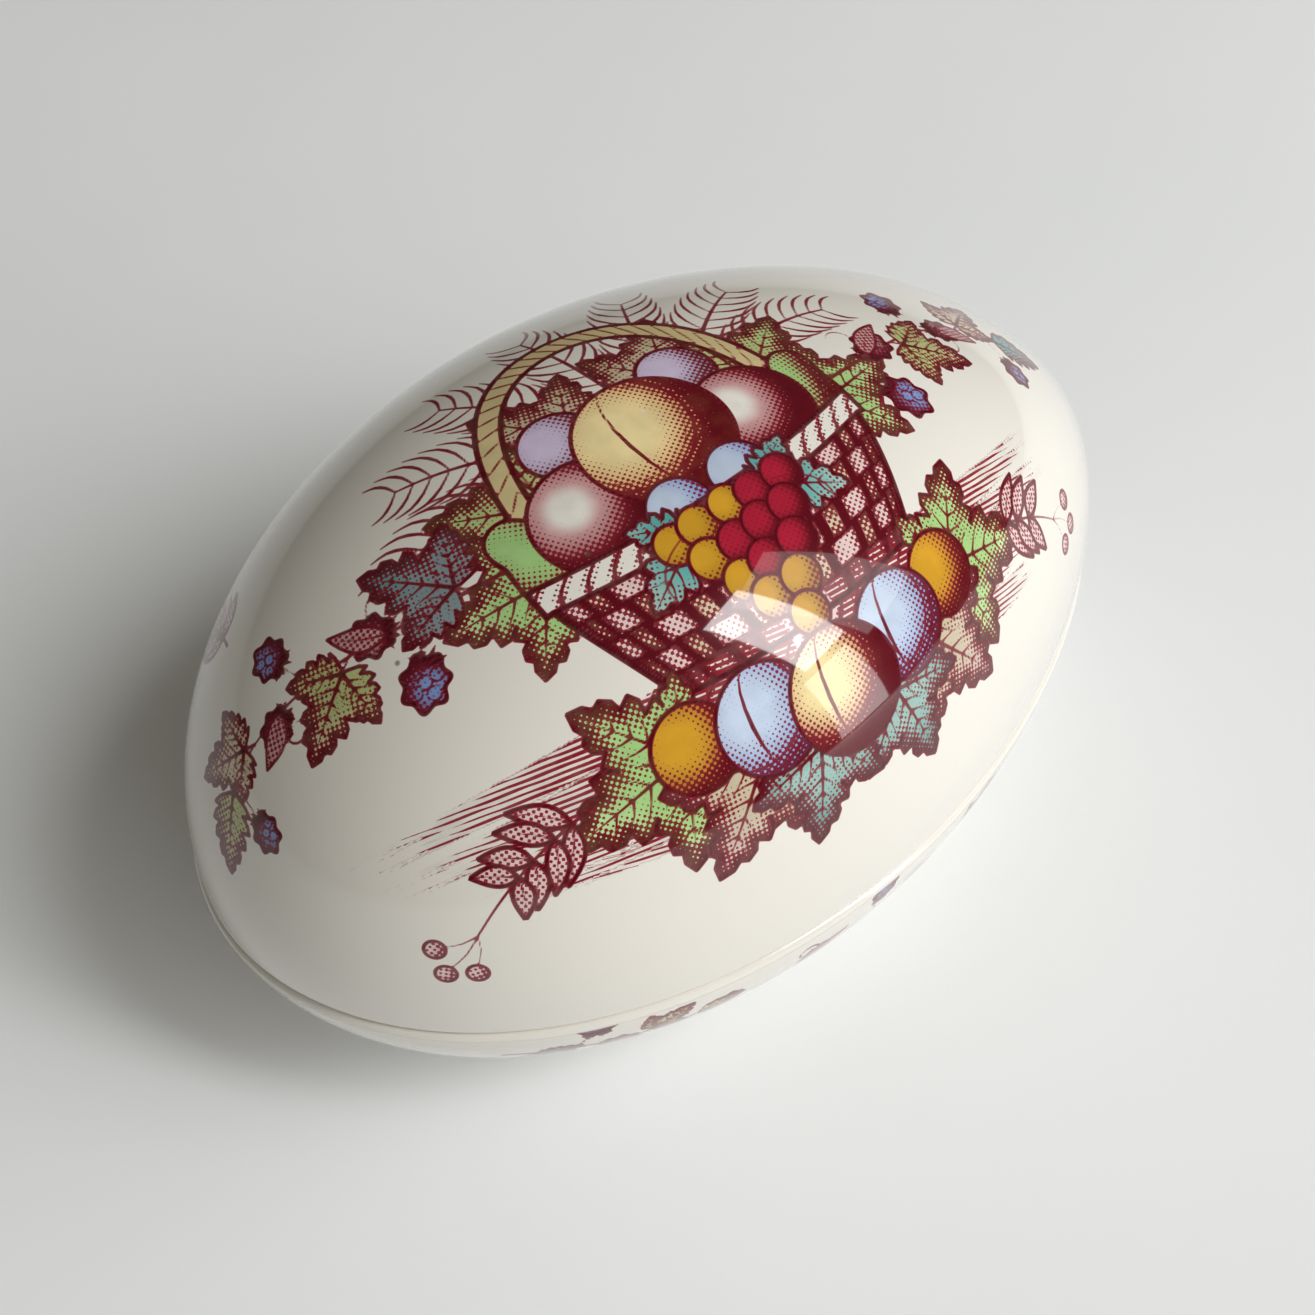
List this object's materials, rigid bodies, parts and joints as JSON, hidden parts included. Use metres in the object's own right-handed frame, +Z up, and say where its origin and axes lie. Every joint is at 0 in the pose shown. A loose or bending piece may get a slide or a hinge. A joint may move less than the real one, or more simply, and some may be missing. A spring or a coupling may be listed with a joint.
{
  "type": "porcelain trinket box",
  "caption": "Egg-shaped porcelain trinket box lying on its side: a shallow base with a locating flange and a domed lid that lifts straight off.",
  "frame": {"origin": "on the table, under the middle of the box's length and width", "axes": "+X along the long axis towards the narrow end of the egg, +Z up along the lid's lift, +Y to the left when looking towards the narrow end"},
  "size_m": [0.1, 0.0642, 0.052],
  "materials": {
    "glazed_base": "cream-white glaze with a coloured transfer print of fruit and leaves, unglazed foot ring and rims",
    "glazed_lid": "cream-white glaze with a coloured transfer print of fruit and leaves, unglazed rim"
  },
  "bodies": {
    "base": {"base": "glazed_base"},
    "lid": {"lid": "glazed_lid"}
  },
  "joints": [
    {"name": "lid_lift", "type": "slide", "parent": "base", "child": "lid", "axis": [0, 0, 1], "range_m": [0, 0.06]}
  ]
}
